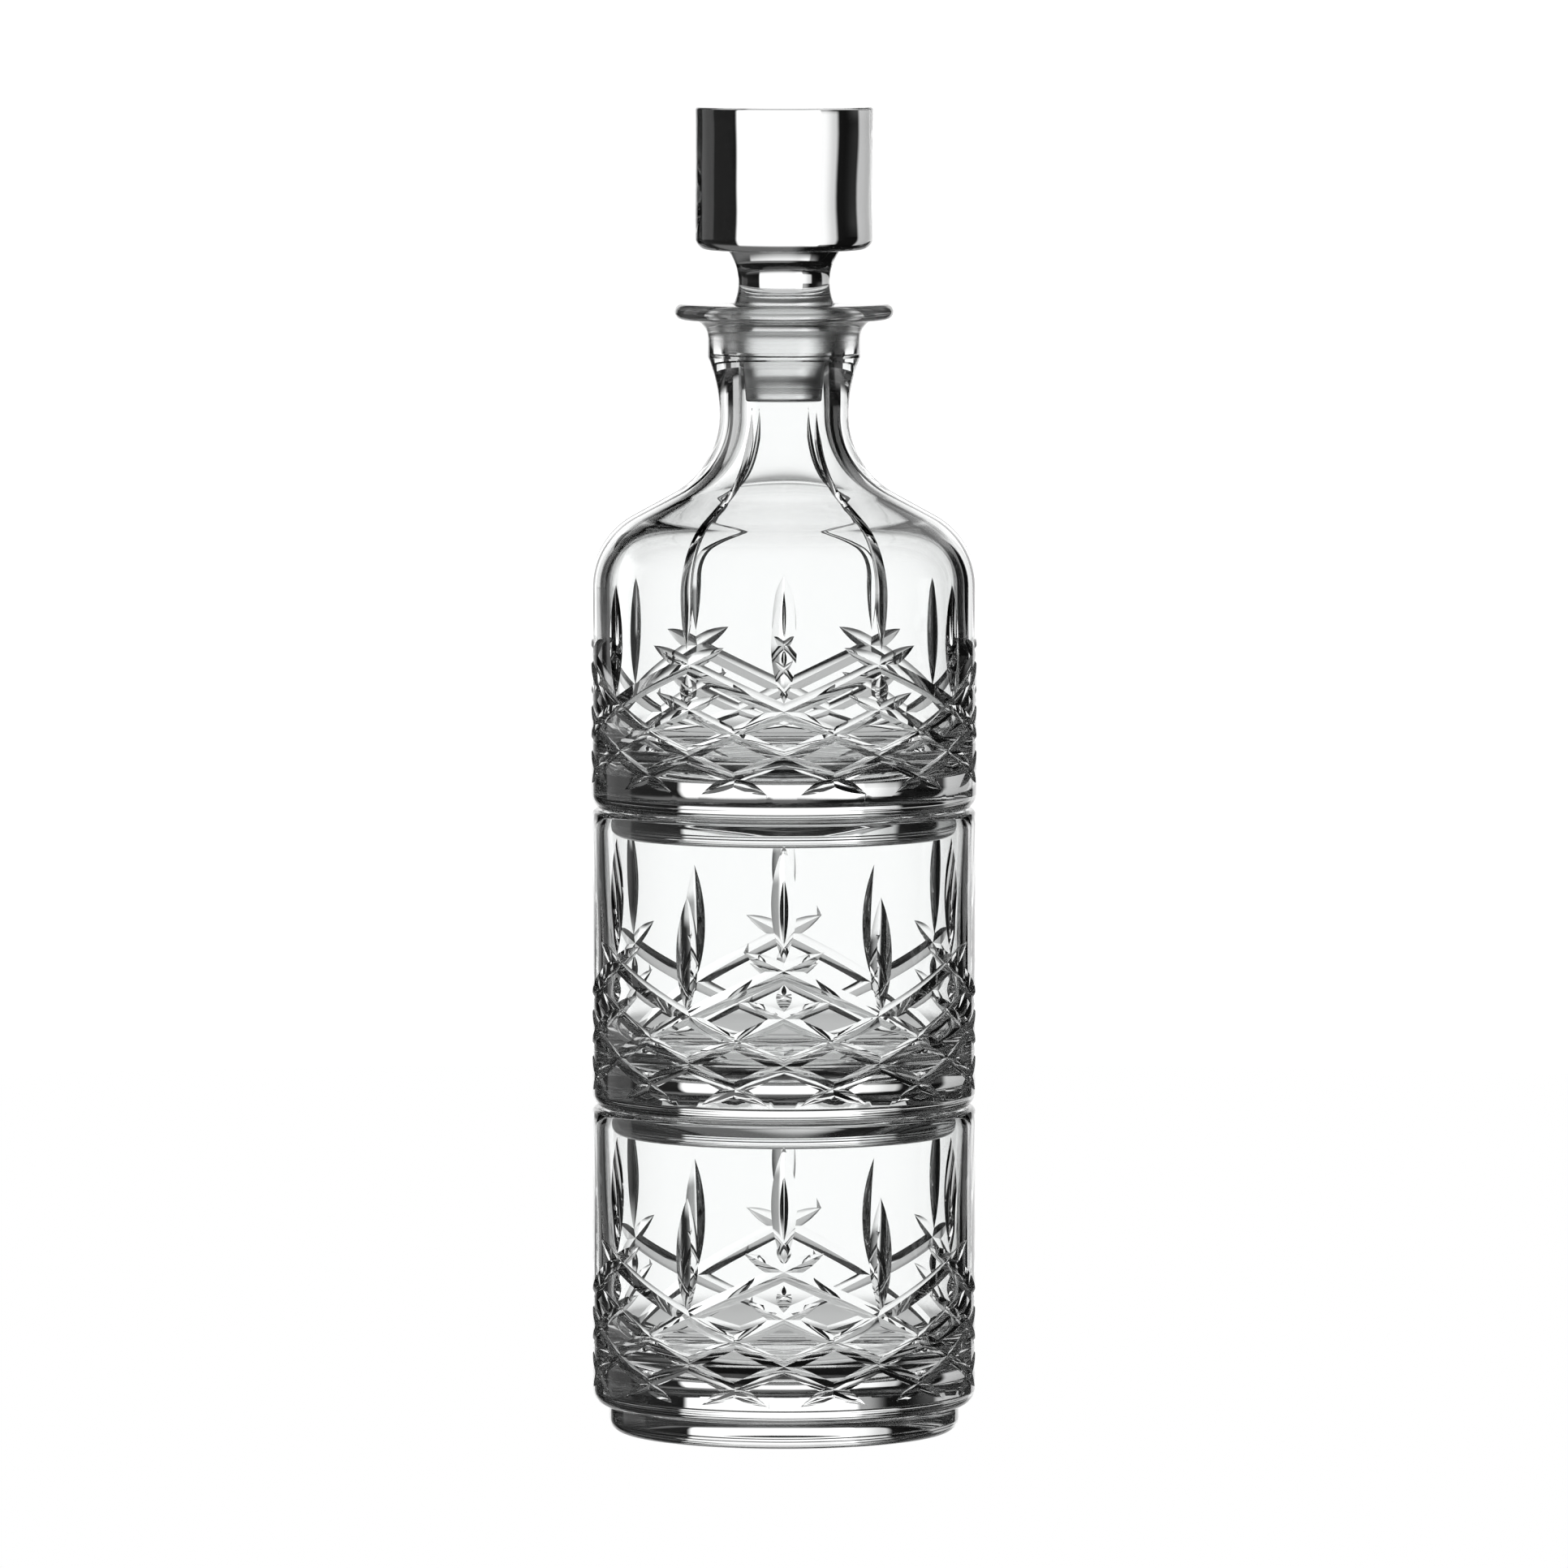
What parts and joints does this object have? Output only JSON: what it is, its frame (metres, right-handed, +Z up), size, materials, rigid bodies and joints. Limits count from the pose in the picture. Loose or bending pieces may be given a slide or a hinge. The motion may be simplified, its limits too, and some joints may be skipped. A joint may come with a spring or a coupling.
{
  "type": "stacking cut crystal decanter",
  "caption": "Stoppered cut crystal decanter with a wide lip that nests on matching footed tumblers to form one straight column.",
  "frame": {"origin": "centre of the lower tumbler's foot on the table, which is the bottom centre of the set", "axes": "+Z up along the common axis of all the pieces, -Y the front, +X to the right seen from the front"},
  "size_m": [0.0884, 0.0884, 0.3043],
  "materials": {
    "cut_crystal": "clear lead crystal, polished V cuts, ground neck seat",
    "stopper_crystal": "clear polished head, ground frosted plug"
  },
  "bodies": {
    "lower_tumbler": {"lower_tumbler": "cut_crystal"},
    "upper_tumbler": {"upper_tumbler": "cut_crystal"},
    "decanter": {"decanter": "cut_crystal"},
    "stopper": {"stopper": "stopper_crystal"}
  },
  "joints": [
    {"name": "upper_tumbler_lift", "type": "slide", "parent": "lower_tumbler", "child": "upper_tumbler", "axis": [0, 0, 1], "range_m": [0, 0.015]},
    {"name": "decanter_lift", "type": "slide", "parent": "upper_tumbler", "child": "decanter", "axis": [0, 0, 1], "range_m": [0, 0.015]},
    {"name": "stopper_lift", "type": "slide", "parent": "decanter", "child": "stopper", "axis": [0, 0, 1], "range_m": [0, 0.03]}
  ]
}
